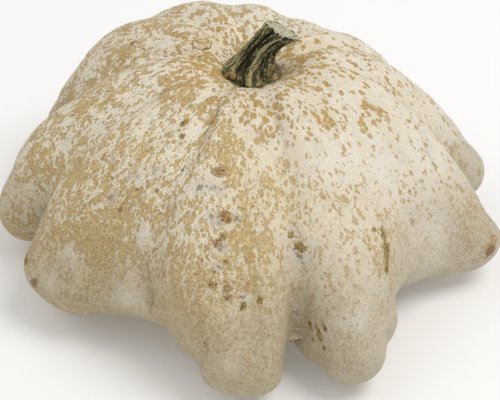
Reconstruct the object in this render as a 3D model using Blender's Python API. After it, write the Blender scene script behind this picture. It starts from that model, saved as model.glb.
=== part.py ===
"""Finger-lobed pattypan squash, resting on its blossom end, with its cut stem.

Two grown pieces: the fruit and the stem. The tables below are in millimetres,
the model is in metres, +Z is up and z = 0 is the surface the fruit rests on.

The fruit is one blended skin: a domed body turned about the vertical, and a
tapered lobe for every finger, which starts high beside the stem, arches over
the shoulder and points out and down. Ridges and furrows run from the stem over
the shoulder, one ridge to a lobe.
"""

import math

import bmesh
import bpy
import numpy as np
from mathutils import Vector

for old in list(bpy.data.objects):
    bpy.data.objects.remove(old, do_unlink=True)

# ------------------------------------------------------------------ dimensions
MM = 0.001
STEM_X, STEM_Y = 0.6, 6.0      # where the stem grows, a little behind the middle
SEAT_Z, SEAT_R = 64.3, 11.5    # height and radius of the flat seat under the stem
STEM_GAP = 0.3                 # free gap between seat and stem
CAVITY_DEPTH, CAVITY_R = 2.6, 13.0
BLEND = 8.0                    # how softly lobe runs into body and lobe into lobe
BLEND_LESS = 3.5               # how much less softly low down, between the fingers
FLAT_EDGE = 1.5                # rounding where the skin meets the resting flat
SCAR_R, SCAR_DEPTH = 5.5, 1.2  # dimple of the blossom scar
FACES_A_SIDE = 60              # faces along each side of the starting cube
FACE_SIZE = 4.2                # size of the skin's faces
EVENING_TURNS = 4              # rounds of evening the faces out along the skin
SKIN_HEART = (0.5, 1.0, 24.0)  # point the skin is drawn out from

# half profile of the body, from the middle of the top to the middle below (r, z)
BODY = [
    (0, 64), (14, 65.5), (26, 64.5), (37, 60), (46, 51), (51, 40),
    (51, 28), (47.5, 16.5), (40, 8), (31, 3), (23, -0.4), (16, -2.2), (8, -3), (0, -3.2),
]

# A lobe is a fat curve in an upright plane through the stem: where it starts,
# where it arches, where its tip is (distance from the stem, height, radius),
# how far the tip swings sideways, and a lower keel that fills its underside.
START, START_BACK, KEEL = (20, 42, 22), (18, 40, 21), (26, 26, 20)
LOBES = [
    # direction, start, arch, tip, swing, keel
    (12, START, (45.5, 40.5, 16.3), (65.2, 15.5, 7.3), 0, KEEL),
    (38, START_BACK, (42, 39.5, 16.5), (58, 16, 9), 0, KEEL),
    (57, START_BACK, (38, 40, 15), (56, 16, 9), 0, KEEL),
    (86, START, (41.5, 45, 17), (58, 16, 9), 0, KEEL),
    (115, START, (46, 48.5, 18), (60, 17, 9), 0, KEEL),
    (137, START, (52, 48, 18.5), (63, 17, 9), 0, KEEL),
    (152, START, (53.4, 41, 15.5), (62, 19, 9), 0, KEEL),
    (183, START, (57.5, 42, 15.5), (68, 14.5, 8.5), 0, KEEL),
    (209.5, START, (54, 42, 14), (66.2, 17.2, 8.2), 0, KEEL),
    (213, START, (50, 38, 13), (63.3, 12.6, 7.5), 0, KEEL),
    (219, START, (50, 39, 14), (62.3, 17.5, 8.5), 0, KEEL),
    (226, START, (45, 37, 13), (57, 18, 7.6), 0, KEEL),
    (234, START, (44, 36, 14), (52, 21.8, 11.4), 0, KEEL),
    (247, START, (46, 38, 14), (54.8, 20.8, 8), 0, KEEL),
    (248, START, (51, 38, 17), (60.4, 15.8, 6.2), 9, KEEL),
    (250.5, START, (54, 38, 20), (69, 13.8, 6.8), 17.4, KEEL),
    (275, START, (52, 38, 14), (69.9, 12.2, 7.2), -5.5, KEEL),
    (288, START, (45, 38, 14), (50, 30, 9), 0, KEEL),
    (288.5, START, (44, 34, 13), (60, 13.4, 7.9), 0, KEEL),
    (302, START, (50, 36, 21), (69.4, 13.2, 8.6), -10.2, (28, 26, 22)),
    (302, START, (48, 36, 18), (62.3, 14.6, 7.7), 0, KEEL),
    (314, START, (44, 34, 15), (53.7, 21.2, 6.7), 0, KEEL),
    (332, START, (42, 32, 15), (50, 19, 12), 0, KEEL),
    (338, START, (46, 33, 13), (60.3, 12.3, 5.5), 0, KEEL),
    (343, START, (46, 33, 13), (66.5, 12, 5.4), 0, KEEL),
    (346, START, (50, 37, 16), (70.2, 13.7, 5.5), 0, (53, 17, 16)),
]

# ridges (+) and furrows (-) of the shoulder: direction, height
FOLDS = [
    (12, 1.0), (27, -0.9), (39, 1.5), (48, 0.8), (58, 0.6), (75, -1.0),
    (87, 1.0), (100, 0.1), (115, 1.5), (130, -0.6), (141, 0.8), (150, -0.3),
    (156, 0.6), (165, -2.2), (184, 1.1), (203, -1.1), (216, 0.8), (229, 0.4),
    (242, -2.2), (256, 0.9), (266, 0.2), (273, 0.7), (281, -1.2), (296, 1.2),
    (308, 0.9), (324, -1.1), (346, 1.5), (359, -1.6),
]
# a cleft low between the two front fingers: direction, half width, depth
CLEFT = (282, 5.0, 2.0)

# the stem leans to the right as it rises: centre (x, y, height over seat), radius
STEM_PATH = [
    (0.0, 0.0, 0.0, 7.8), (0.2, 0.0, 1.2, 8.0), (0.8, 0.1, 2.8, 6.9),
    (1.9, 0.3, 5.0, 5.3), (3.8, 0.6, 7.8, 4.5), (6.2, 1.0, 10.4, 4.3),
    (8.6, 1.4, 12.4, 4.8), (9.9, 1.6, 13.3, 5.2),
]
STEM_CUT = (0.45, 0.24, 0.86)  # which way the cut end faces
STEM_RIBS, RIB_DEPTH, STEM_TWIST = 5, 0.11, 0.9
STEM_SIDES, STEM_RINGS = 40, 12


# -------------------------------------------------------------------- the skin
def smooth_curve(points, steps):
    """Points along a smooth curve through the given ones."""
    p = np.array(points, float)
    p = np.vstack([2 * p[0] - p[1], p, 2 * p[-1] - p[-2]])
    out = []
    for i in range(1, len(p) - 2):
        a, b, c, d = p[i - 1], p[i], p[i + 1], p[i + 2]
        for t in np.arange(steps) / steps:
            out.append(
                0.5 * (2 * b + (c - a) * t + (2 * a - 5 * b + 4 * c - d) * t * t
                       + (3 * b - a - 3 * c + d) * t ** 3)
            )
    out.append(p[-2])
    return np.array(out)


def soft_min(a, b, k):
    h = np.maximum(k - np.abs(a - b), 0.0) / k
    return np.minimum(a, b) - h * h * k * 0.25


def soft_max(a, b, k):
    return -soft_min(-a, -b, k)


def ramp(x, a, b):
    t = np.clip((x - a) / (b - a), 0, 1)
    return t * t * (3 - 2 * t)


BODY_CURVE = smooth_curve(BODY, 6)


def body(r, z):
    """Distance to the turned body, negative inside."""
    best = np.full(r.shape, 1e9)
    inside = np.zeros(r.shape, bool)
    for (ra, za), (rb, zb) in zip(BODY_CURVE, BODY_CURVE[1:]):
        dr, dz = rb - ra, zb - za
        h = np.clip(((r - ra) * dr + (z - za) * dz) / (dr * dr + dz * dz), 0, 1)
        best = np.minimum(best, np.hypot(r - ra - h * dr, z - za - h * dz))
        if zb != za:
            inside ^= ((za > z) != (zb > z)) & (r < ra + (z - za) / (zb - za) * dr)
    return np.where(inside, -best, best)


def lobe(x, y, z, direction, start, arch, tip, swing, keel):
    """Distance to one lobe: the nearest point of its curve, less its radius."""
    a = math.radians(direction)
    u = (x - STEM_X) * math.cos(a) + (y - STEM_Y) * math.sin(a)
    v = -(x - STEM_X) * math.sin(a) + (y - STEM_Y) * math.cos(a)
    bu, bw = 2 * (arch[0] - start[0]), 2 * (arch[1] - start[1])
    au, aw = start[0] - 2 * arch[0] + tip[0], start[1] - 2 * arch[1] + tip[1]

    def offset(t):
        return start[0] + bu * t + au * t * t - u, start[1] + bw * t + aw * t * t - z

    samples = np.linspace(0, 1, 9)
    gaps = np.stack([sum(d * d for d in offset(t)) for t in samples])
    t = samples[np.argmin(gaps, axis=0)]
    for _ in range(3):
        du, dw = offset(t)
        tu, tw = bu + 2 * au * t, bw + 2 * aw * t
        slope = du * tu + dw * tw
        bend = tu * tu + tw * tw + 2 * (du * au + dw * aw)
        t = np.clip(t - np.clip(slope / np.maximum(bend, 1e-3), -0.1, 0.1), 0, 1)
    du, dw = offset(t)
    radius = (1 - t) ** 2 * start[2] + 2 * t * (1 - t) * arch[2] + t * t * tip[2]
    upper = np.sqrt(du * du + dw * dw + (v - swing * t * t) ** 2) - radius

    ku, kw = tip[0] - keel[0], tip[1] - keel[1]
    h = ((u - keel[0]) * ku + v * swing + (z - keel[1]) * kw) / (ku * ku + swing * swing + kw * kw)
    h = np.clip(h, 0, 1)
    lower = np.sqrt((u - keel[0] - h * ku) ** 2 + (v - h * swing) ** 2 + (z - keel[1] - h * kw) ** 2)
    lower = lower - (keel[2] + h * (tip[2] - keel[2]))
    return soft_min(upper, lower, 6.0)


def folds(direction):
    """Height of the ridges and furrows, narrow in the furrows."""
    az = np.array([a for a, _ in FOLDS] + [FOLDS[0][0] + 360.0])
    ht = np.array([h for _, h in FOLDS] + [FOLDS[0][1]])
    q = (direction - az[0]) % 360.0 + az[0]
    i = np.clip(np.searchsorted(az, q, side="right") - 1, 0, len(az) - 2)
    t = np.clip((q - az[i]) / (az[i + 1] - az[i]), 0, 1)
    s = 0.5 - 0.5 * np.cos(np.pi * t)
    s = np.where(ht[i + 1] < ht[i], s ** 1.5, 1 - (1 - s) ** 1.5)
    return ht[i] + (ht[i + 1] - ht[i]) * s


def skin(p):
    """Signed distance, near enough, to the skin of the fruit."""
    x, y, z = p[:, 0], p[:, 1], p[:, 2]
    f = body(np.hypot(x, y), z)
    for one in LOBES:
        f = soft_min(f, lobe(x, y, z, *one), BLEND - BLEND_LESS * (1 - ramp(z, 22, 44)))
    dx, dy = x - STEM_X, y - STEM_Y
    rho = np.hypot(dx, dy)
    high = ramp(z, 25, 50)
    fade = ramp(rho, 7, 20) * (1 - 0.55 * ramp(rho, 38, 66)) * high
    az = np.degrees(np.arctan2(dy, dx)) % 360
    f = f - folds(az) * fade
    f = f + CLEFT[2] * np.exp(-(((az - CLEFT[0]) / CLEFT[1]) ** 2)) * ramp(rho, 46, 58) * (1 - ramp(z, 36, 52))
    f = f + CAVITY_DEPTH * np.exp(-((rho / CAVITY_R) ** 2)) * high
    f = soft_max(f, -np.maximum(rho - SEAT_R, SEAT_Z - z), 0.8)
    # the resting flat, with the blossom scar dimpled into its middle
    scar = SCAR_DEPTH * (1 - ramp(np.hypot(x, y), 0.35 * SCAR_R, SCAR_R))
    return soft_max(f, scar - z, FLAT_EDGE)


def skin_slope(p):
    """The skin's height and its slope at each point, from four near points."""
    height, slope = 0.0, 0.0
    for corner in ((1, 1, 1), (1, -1, -1), (-1, 1, -1), (-1, -1, 1)):
        corner = np.array(corner) * 0.05
        f = skin(p + corner)[:, None]
        height = height + f / 4
        slope = slope + f * corner / 0.01
    return height, slope


# ------------------------------------------------------------------- the fruit
def drawn_out_cube():
    """A cube cut into even faces, each point drawn out from the heart to the skin."""
    bm = bmesh.new()
    bmesh.ops.create_cube(bm, size=2.0)
    bmesh.ops.subdivide_edges(bm, edges=bm.edges[:], cuts=FACES_A_SIDE - 1, use_grid_fill=True)
    ray = np.tan(np.array([v.co[:] for v in bm.verts]) * math.pi / 4)
    ray /= np.linalg.norm(ray, axis=1, keepdims=True)
    heart = np.array(SKIN_HEART)
    reach = np.full(len(ray), 95.0)
    for _ in range(50):
        gap = skin(heart + ray * reach[:, None])
        reach = np.clip(reach - np.clip(gap * 0.7, -4, 4), 5, 100)
    for v, point in zip(bm.verts, heart + ray * reach[:, None]):
        v.co = point * MM
    me = bpy.data.meshes.new("drawn_out_cube")
    bm.to_mesh(me)
    bm.free()
    return me


def fruit_mesh():
    """The drawn-out cube in even faces, with every point set back on the skin."""
    ob = bpy.data.objects.new("drawn_out_cube", drawn_out_cube())
    bpy.context.scene.collection.objects.link(ob)
    remesh = ob.modifiers.new("even_faces", "REMESH")
    remesh.mode = "VOXEL"
    remesh.voxel_size = FACE_SIZE * MM
    even = ob.evaluated_get(bpy.context.evaluated_depsgraph_get())
    bm = bmesh.new()
    bm.from_mesh(even.data)
    bpy.data.objects.remove(ob, do_unlink=True)

    p = np.array([v.co[:] for v in bm.verts]) / MM
    ends = np.array([[v.index for v in e.verts] for e in bm.edges])
    count = np.bincount(ends.ravel(), minlength=len(p))[:, None]
    for turn in range(EVENING_TURNS + 4):
        f, g = skin_slope(p)
        size = np.linalg.norm(g, axis=1, keepdims=True)
        p -= g * np.clip(f / np.maximum(size ** 2, 1e-6), -1, 1)
        if turn < EVENING_TURNS:
            mean = np.zeros_like(p)
            for i in range(3):
                mean[:, i] = (np.bincount(ends[:, 0], p[ends[:, 1], i], len(p))
                              + np.bincount(ends[:, 1], p[ends[:, 0], i], len(p)))
            move = mean / count - p
            n = g / np.maximum(size, 1e-6)
            p += 0.5 * (move - (move * n).sum(1, keepdims=True) * n)

    # what lies on the resting flat or the stem's seat lies exactly on it
    p[np.abs(p[:, 2]) < 0.05, 2] = 0.0
    near = np.hypot(p[:, 0] - STEM_X, p[:, 1] - STEM_Y) < SEAT_R + 1
    p[near & (np.abs(p[:, 2] - SEAT_Z) < 0.05), 2] = SEAT_Z

    for v in bm.verts:
        v.co = p[v.index] * MM
    bmesh.ops.triangulate(bm, faces=bm.faces[:])
    bmesh.ops.recalc_face_normals(bm, faces=bm.faces[:])
    me = bpy.data.meshes.new("squash_fruit")
    bm.to_mesh(me)
    bm.free()
    return me


# -------------------------------------------------------------------- the stem
def stem_mesh():
    """A ribbed stalk, flared at its foot and at its cut end."""
    path = smooth_curve(STEM_PATH, 8)
    rows = np.linspace(0, len(path) - 1, STEM_RINGS + 1).round().astype(int)
    cut = Vector(STEM_CUT).normalized()
    foot = Vector((STEM_X, STEM_Y, SEAT_Z + STEM_GAP))
    bm = bmesh.new()
    rings = []
    for k, row in enumerate(rows):
        t = k / STEM_RINGS
        x, y, z, radius = path[row]
        centre = foot + Vector((x, y, z))
        # the rings tip over from level at the foot to the slope of the cut
        normal = Vector((0, 0, 1)).lerp(cut, t ** 0.8).normalized()
        across = Vector((1, 0, 0)) - normal * normal.x
        across.normalize()
        along = normal.cross(across)
        ring = []
        for i in range(STEM_SIDES):
            a = 2 * math.pi * i / STEM_SIDES
            rib = math.cos(STEM_RIBS * a + STEM_TWIST * t)
            r = radius * (1 + RIB_DEPTH * (1 if k else 0.4) * rib)
            ring.append(bm.verts.new((centre + (across * math.cos(a) + along * math.sin(a)) * r) * MM))
        rings.append(ring)
    for lower, upper in zip(rings, rings[1:]):
        for i in range(STEM_SIDES):
            j = (i + 1) % STEM_SIDES
            bm.faces.new((lower[i], lower[j], upper[j], upper[i]))
    bm.faces.new(rings[0][::-1])
    bm.faces.new(rings[-1])
    bmesh.ops.triangulate(bm, faces=bm.faces[:])
    bmesh.ops.recalc_face_normals(bm, faces=bm.faces[:])
    me = bpy.data.meshes.new("stem")
    bm.to_mesh(me)
    bm.free()
    return me


def material(name, colour, roughness):
    mat = bpy.data.materials.new(name)
    mat.use_nodes = True
    shader = mat.node_tree.nodes["Principled BSDF"]
    shader.inputs["Base Color"].default_value = (*colour, 1.0)
    shader.inputs["Roughness"].default_value = roughness
    shader.inputs["Metallic"].default_value = 0.0
    return mat


def place(mesh, mat, smooth_angle):
    mesh.materials.append(mat)
    mesh.shade_smooth()
    mesh.set_sharp_from_angle(angle=math.radians(smooth_angle))
    ob = bpy.data.objects.new(mesh.name, mesh)
    bpy.context.scene.collection.objects.link(ob)
    return ob


fruit = place(fruit_mesh(), material("rind", (0.68, 0.58, 0.42), 0.5), 60)
stem = place(stem_mesh(), material("dry_stem", (0.06, 0.06, 0.035), 0.75), 45)

# the middle of the whole outline stands over the origin
corners = [v.co for v in fruit.data.vertices]
middle_x = (min(c.x for c in corners) + max(c.x for c in corners)) / 2
middle_y = (min(c.y for c in corners) + max(c.y for c in corners)) / 2
for ob in (fruit, stem):
    for v in ob.data.vertices:
        v.co.x -= middle_x
        v.co.y -= middle_y
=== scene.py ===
"""Pattypan squash: the looks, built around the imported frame.

The rind is a fine skin laid over the same blended field as the frame's fruit,
with warts, dimples and a puckered stem cavity; the stem is a fine ribbed stalk.
Tables below are in millimetres, in the fruit's own layout; everything is moved
onto the frame and scaled to metres at the end.
"""
import math

import bmesh
import bpy
import numpy as np
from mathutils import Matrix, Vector


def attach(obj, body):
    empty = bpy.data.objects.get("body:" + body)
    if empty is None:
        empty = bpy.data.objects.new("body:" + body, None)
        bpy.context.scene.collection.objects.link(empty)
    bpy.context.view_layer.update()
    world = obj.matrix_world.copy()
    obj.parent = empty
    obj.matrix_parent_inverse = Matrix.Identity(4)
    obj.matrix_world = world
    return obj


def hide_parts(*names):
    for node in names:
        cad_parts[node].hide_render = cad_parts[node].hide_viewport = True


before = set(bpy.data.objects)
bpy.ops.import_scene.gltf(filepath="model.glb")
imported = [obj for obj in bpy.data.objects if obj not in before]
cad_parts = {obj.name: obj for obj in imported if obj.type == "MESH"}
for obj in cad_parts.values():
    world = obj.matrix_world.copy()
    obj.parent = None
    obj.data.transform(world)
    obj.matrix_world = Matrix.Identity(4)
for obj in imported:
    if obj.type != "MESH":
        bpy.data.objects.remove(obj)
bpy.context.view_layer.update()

MM = 0.001
CELL = 0.86   # size of the skin's faces

# ---------------------------------------------------------------- shape tables
STEM_X, STEM_Y = 0.6, 6.0
SEAT_Z, SEAT_R = 64.3, 8.5
CAVITY_DEPTH, CAVITY_R = 4.0, 13.0
BLEND, BLEND_LESS = 8.0, 3.5     # how softly the lobes run together, and how much less low down
SCAR_R, SCAR_DEPTH = 5.5, 1.4

BODY = [
    (0, 64), (14, 65.5), (26, 64.5), (37, 60), (46, 51), (51, 40),
    (51, 28), (47.5, 16.5), (40, 8), (31, 3), (23, -0.4), (16, -2.2), (8, -3), (0, -3.2),
]
START, START_BACK, KEEL = (20, 42, 22), (18, 40, 21), (26, 26, 20)
LOBES = [
    # direction, start, arch, tip, swing, keel
    (12, START, (45.5, 40.5, 16.3), (65.2, 15.5, 7.3), 0, KEEL),
    (38, START_BACK, (42, 39.5, 16.5), (58, 16, 9), 0, KEEL),
    (57, START_BACK, (38, 40, 15), (56, 16, 9), 0, KEEL),
    (86, START, (41.5, 45, 17), (58, 16, 9), 0, KEEL),
    (115, START, (46, 48.5, 18), (60, 17, 9), 0, KEEL),
    (137, START, (52, 48, 18.5), (63, 17, 9), 0, KEEL),
    (152, START, (53.4, 41, 15.5), (62, 19, 9), 0, KEEL),
    (183, START, (57.5, 42, 15.5), (68, 14.5, 8.5), 0, KEEL),
    (209.5, START, (54, 42, 14), (66.2, 17.2, 8.2), 0, KEEL),
    (213, START, (50, 38, 13), (63.3, 12.6, 7.5), 0, KEEL),
    (219, START, (50, 39, 14), (62.3, 17.5, 8.5), 0, KEEL),
    (226, START, (45, 37, 13), (57, 18, 7.6), 0, KEEL),
    (234, START, (44, 36, 14), (52, 21.8, 11.4), 0, KEEL),
    (247, START, (46, 38, 14), (54.8, 20.8, 8), 0, KEEL),
    (248, START, (51, 38, 17), (60.4, 15.8, 6.2), 9, KEEL),
    (250.5, START, (54, 38, 20), (69, 13.8, 6.8), 17.4, KEEL),
    (275, START, (52, 38, 14), (69.9, 12.2, 7.2), -5.5, KEEL),
    (288, START, (45, 38, 14), (50, 30, 9), 0, KEEL),
    (288.5, START, (44, 34, 13), (60, 13.4, 7.9), 0, KEEL),
    (302, START, (50, 36, 21), (69.4, 13.2, 8.6), -10.2, (28, 26, 22)),
    (302, START, (48, 36, 18), (62.3, 14.6, 7.7), 0, KEEL),
    (314, START, (44, 34, 15), (53.7, 21.2, 6.7), 0, KEEL),
    (332, START, (42, 32, 15), (50, 19, 12), 0, KEEL),
    (338, START, (46, 33, 13), (60.3, 12.3, 5.5), 0, KEEL),
    (343, START, (46, 33, 13), (66.5, 12, 5.4), 0, KEEL),
    (346, START, (50, 37, 16), (70.2, 13.7, 5.5), 0, (53, 17, 16)),
]
FOLDS = [
    (12, 1.0), (27, -0.9), (39, 1.5), (48, 0.8), (58, 0.6), (75, -1.0),
    (87, 1.0), (100, 0.1), (115, 1.5), (130, -0.6), (141, 0.8), (150, -0.3),
    (156, 0.6), (165, -2.2), (184, 1.1), (203, -1.1), (216, 0.8), (229, 0.4),
    (242, -2.2), (256, 0.9), (266, 0.2), (273, 0.7), (281, -1.2), (296, 1.2),
    (308, 0.9), (324, -1.1), (346, 1.5), (359, -1.6),
]
CLEFT = (282, 5.0, 2.0)          # low between the two front fingers: direction, half width, depth

# Blemishes of the rind. Where each sits: direction round the stem, distance
# from the stem, height; then half length down the rind, half width, relief.
MARKS = [
    ("button", 147, 17.6, 67, 2.55, 2.7, 0.60),
    ("wart", 258, 44, 61, 1.5, 1.95, 0.55),
    ("crust", 262, 53.5, 53, 2.2, 1.9, 0.60),
    ("crust", 260.5, 58.5, 48, 1.7, 1.4, 0.35),
    ("crust", 262, 57, 49, 1.0, 1.0, 0.30),
    ("crust", 260.5, 66, 39, 1.3, 1.3, 0.45),
    ("crust", 264, 65.5, 38, 1.5, 1.3, 0.45),
    ("crust", 264.5, 67.5, 36, 1.2, 1.3, 0.30),
    ("olive", 268, 68, 33.5, 1.5, 1.1, 0.25),
    ("olive", 272, 66.5, 34, 1.2, 0.9, 0.05),
    ("brown", 267.3, 66.5, 35.5, 0.7, 0.7, 0.0),
    ("bruise", 268.5, 67, 35.5, 2.2, 1.8, -0.45),
    ("brown", 236, 35.5, 63, 1.3, 1.1, 0.25),
    ("brown", 154, 39.5, 62, 1.5, 2.3, 0.10),
    ("brown", 248.5, 40.5, 62, 1.5, 0.45, -0.1),
    ("brown", 251, 53.5, 53, 0.6, 0.9, 0.1),
    ("brown", 257, 62.5, 44, 1.2, 0.4, -0.15),
    ("brown", 260.5, 64, 42, 0.8, 0.8, 0.1),
    ("brown", 263, 61.5, 44, 0.9, 1.0, 0.1),
    ("brown", 259.5, 73.5, 24, 3.0, 0.4, -0.2),
    ("brown", 207.5, 74.5, 21, 2.4, 2.0, 0.2),
    ("brown", 212, 74.5, 17, 2.9, 1.7, 0.2),
    ("orange", 219.5, 22, 69, 1.3, 1.2, 0.1),
    ("orange", 214.5, 51, 55, 1.4, 1.2, 0.1),
    ("orange", 223.5, 55.5, 48, 1.5, 0.9, -0.2),
    ("orange", 269.5, 60, 44, 2.2, 1.8, 0.25),
    ("orange", 196.5, 31, 65, 1.4, 0.9, 0.05),
    ("orange", 269, 65, 38, 2.4, 1.2, 0.0),
    ("orange", 341.5, 75, 16, 2.6, 3.0, 0.25),
    ("orange", 343.5, 76, 18, 2.6, 1.8, 0.15),
    ("brown", 341.5, 75, 15, 2.0, 2.8, 0.10),
    ("olive", 233.5, 32.5, 65, 1.9, 0.8, 0.05),
    ("olive", 247.5, 29, 66, 1.1, 0.8, 0.05),
    ("olive", 244, 43, 58, 1.5, 0.45, -0.1),
    ("olive", 281.5, 54.5, 47, 1.4, 1.0, 0.1),
    ("olive", 283.5, 57, 44, 1.9, 1.5, 0.1),
    ("olive", 308, 60, 42, 2.4, 1.4, 0.0),
    ("olive", 307.5, 63, 38, 3.4, 2.6, -0.1),
    ("olive", 306, 65.5, 34.5, 2.4, 1.7, 0.0),
    ("olive", 304.5, 58, 44, 1.2, 0.7, 0.0),
    ("olive", 282.5, 67, 22, 1.5, 0.9, 0.0),
    ("olive", 284.5, 69, 22, 2.2, 0.8, 0.0),
    ("olive", 284.5, 70, 20, 1.6, 0.8, 0.0),
    ("olive", 286, 70, 24, 1.6, 0.7, 0.0),
    ("olive", 283.5, 68, 18, 0.9, 0.7, 0.0),
    ("olive", 285, 72, 18, 0.9, 0.7, 0.0),
    ("bruise", 252.5, 48.5, 58, 2.4, 2.6, -0.35),
    ("bruise", 256.5, 48, 59, 1.8, 2.2, -0.2),
    ("bruise", 259.5, 48.5, 58, 2.0, 1.6, -0.2),
    ("bruise", 258, 54, 53, 1.8, 2.6, -0.2),
    ("bruise", 265.5, 53.5, 53, 1.7, 1.4, -0.15),
    ("bruise", 260, 55.5, 52, 1.2, 1.4, -0.1),
    ("bruise", 261.5, 59.5, 47, 2.4, 2.4, -0.3),
    ("bruise", 261.5, 63, 43, 1.6, 1.6, -0.2),
    ("bruise", 224.5, 56.5, 49, 3.0, 2.0, -0.3),
    ("bruise", 218, 50, 56, 1.4, 1.0, -0.1),
    ("bruise", 234.5, 46.5, 57, 2.4, 1.6, -0.25),
    ("bruise", 229, 49.5, 55, 1.4, 1.2, -0.15),
    ("bruise", 226.5, 50.5, 54, 1.4, 1.0, -0.1),
    ("bruise", 250.5, 34, 64, 2.0, 2.0, -0.1),
    ("bruise", 282.5, 59.5, 42, 4.0, 2.0, -0.2),
    ("brown", 228.5, 57, 47, 1.2, 0.9, -0.1),
    ("brown", 231, 52, 53, 0.9, 0.7, -0.1),
    ("brown", 237.5, 50.5, 54, 1.0, 0.6, -0.1),
]

# Where the tan mottling gathers (+) and thins out (-): direction, distance,
# height, reach, weight.
TAN = [
    # round the stem
    (215, 24, 67, 7, 0.36), (200, 11, 65, 6, 0.28), (177, 18, 67, 6, 0.20), (143, 22, 67, 7, 0.08),
    (250, 28, 66, 6, 0.22), (270, 22, 67, 6, 0.22), (292, 25, 67, 6, 0.12), (312, 20, 67, 6, 0.16),
    (345, 15, 66, 7, 0.26), (20, 14, 66, 8, 0.30), (345, 28, 66, 6, 0.22), (306, 32, 64, 6, 0.22),
    (330, 40, 60, 5, 0.20), (318, 33, 64, 5, 0.12), (200, 30, 65, 7, -0.10), (160, 28, 66, 8, -0.12),
    # down the front
    (258, 36, 64, 6, 0.24), (262, 43, 62, 5, 0.30), (266, 49, 57, 5, 0.20), (268, 54, 51, 6, 0.20),
    (270, 59, 46, 6, 0.18), (270, 64, 39, 5, 0.26), (279, 46, 59, 10, 0.22), (284, 54, 51, 9, 0.12),
    (300, 53, 53, 5, 0.15), (255, 66, 36, 9, 0.14), (260, 74, 25, 8, 0.12),
    (251, 66, 38, 12, 0.11), (252, 56, 51, 8, 0.10), (264, 60, 44, 8, 0.12), (264, 68, 33, 8, 0.10), (302, 64, 36, 9, 0.12), (312, 66, 30, 9, 0.10),
    # down the left
    (211, 56, 47, 7, 0.22), (223, 62, 38, 7, 0.34), (214, 67, 35, 5, 0.28), (227, 64, 32, 6, 0.30),
    (230, 43, 59, 5, 0.28), (221, 43, 60, 5, 0.12), (186, 44, 58, 8, 0.18), (168, 44, 60, 7, 0.10),
    (235, 55, 47, 10, 0.12), (248, 62, 33, 8, 0.10), (158, 34, 64, 6, 0.14),
    # the right-hand finger's tip
    (344, 70, 23, 7, 0.30), (342, 64, 30, 6, 0.12),
    # clear places
    (238, 33, 64, 4, -0.30), (257, 47, 59, 4, -0.08), (200, 46, 54, 5, -0.22), (193, 55, 46, 5, -0.16),
    (322, 47, 53, 7, -0.32), (327, 30, 65, 5, -0.12), (328, 60, 30, 10, -0.18), (340, 56, 44, 8, -0.12),
    (291, 41, 62, 9, -0.13), (301, 45, 59, 8, -0.08),
    (283, 57, 46, 4, -0.30), (237, 63, 23, 7, -0.45), (219, 67, 31, 4, -0.40), (238, 57, 43, 4, -0.34), (216, 73, 20, 5, -0.30),
    (246, 64, 34, 5, -0.30), (265, 77, 20, 4, -0.26), (294, 72, 26, 5, -0.26), (300, 66, 32, 5, -0.22),
    (200, 66, 28, 5, -0.25), (190, 62, 38, 5, 0.22), (186, 74, 20, 6, -0.22), (250, 58, 46, 5, -0.12), (214, 38, 62, 5, -0.12),
]

# Creases and soft valleys: half width, depth, how dark (painted shade in the valleys, with the brown tint of the
# narrow creases), and where they run.
CREASES = [
    (0.45, 0.25, 0.80, [(232, 8, 64), (243, 15, 66), (246, 22, 67), (247, 27, 67), (245, 34, 64)]),
    (0.40, 0.15, 0.45, [(205, 12, 65), (208, 22, 67), (207, 34, 65), (206, 44, 60)]),
    (0.40, 0.15, 0.45, [(282, 12, 65), (284, 22, 67), (285, 32, 66), (284, 42, 61)]),
    (0.70, 0.15, 0.50, [(240, 59, 40), (241, 61, 33), (242, 62, 30), (243, 63, 25), (243, 64, 21)]),
    (0.35, 0.12, 0.55, [(260, 74, 27), (260, 75, 22), (260, 76, 18)]),
    (0.40, 0.15, 0.35, [(7, 36, 61), (352, 44, 58), (345, 50, 54), (340, 55, 48), (338, 60, 40)]),
    (3.0, 0.70, 0.10, [(270, 63, 40), (271, 67, 34), (271, 71, 27), (271, 76, 20), (271, 79, 14)]),
    (3.4, 0.90, 0.05, [(282, 53, 48), (283, 58, 38), (283, 61, 28), (283, 62, 21), (282, 64, 15)]),
    (3.0, 0.60, 0.10, [(242, 50, 56), (243, 58, 46), (244, 62, 36), (243, 64, 24)]),
    (2.5, 0.50, 0.10, [(309, 55, 48), (309, 62, 38), (307, 67, 26)]),
]

# stem: centre line (x, y, height over the seat) and radius
STEM_PATH = [
    (0.0, 0.0, -0.9, 6.6), (0.0, 0.0, -0.3, 7.2), (0.1, 0.0, 0.8, 7.2), (0.5, 0.1, 2.4, 6.3),
    (1.3, 0.3, 4.6, 5.2), (2.8, 0.6, 7.4, 4.3), (5.0, 1.0, 10.2, 4.1),
    (7.4, 1.4, 12.3, 4.6), (8.8, 1.6, 13.2, 5.0),
]
STEM_CUT = (0.45, 0.24, 0.86)


# ------------------------------------------------------------------- the field
def smooth_curve(points, steps):
    p = np.array(points, float)
    p = np.vstack([2 * p[0] - p[1], p, 2 * p[-1] - p[-2]])
    out = []
    for i in range(1, len(p) - 2):
        a, b, c, d = p[i - 1], p[i], p[i + 1], p[i + 2]
        for t in np.arange(steps) / steps:
            out.append(
                0.5 * (2 * b + (c - a) * t + (2 * a - 5 * b + 4 * c - d) * t * t
                       + (3 * b - a - 3 * c + d) * t ** 3)
            )
    out.append(p[-2])
    return np.array(out)


def soft_min(a, b, k):
    h = np.maximum(k - np.abs(a - b), 0.0) / k
    return np.minimum(a, b) - h * h * k * 0.25


def soft_max(a, b, k):
    return -soft_min(-a, -b, k)


def ramp(x, a, b):
    t = np.clip((x - a) / (b - a), 0, 1)
    return t * t * (3 - 2 * t)


BODY_CURVE = smooth_curve(BODY, 6)
GRID = 0.5                      # pitch of the body's distance chart
GRID_R, GRID_Z = (0.0, 110.0), (-20.0, 95.0)


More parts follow.
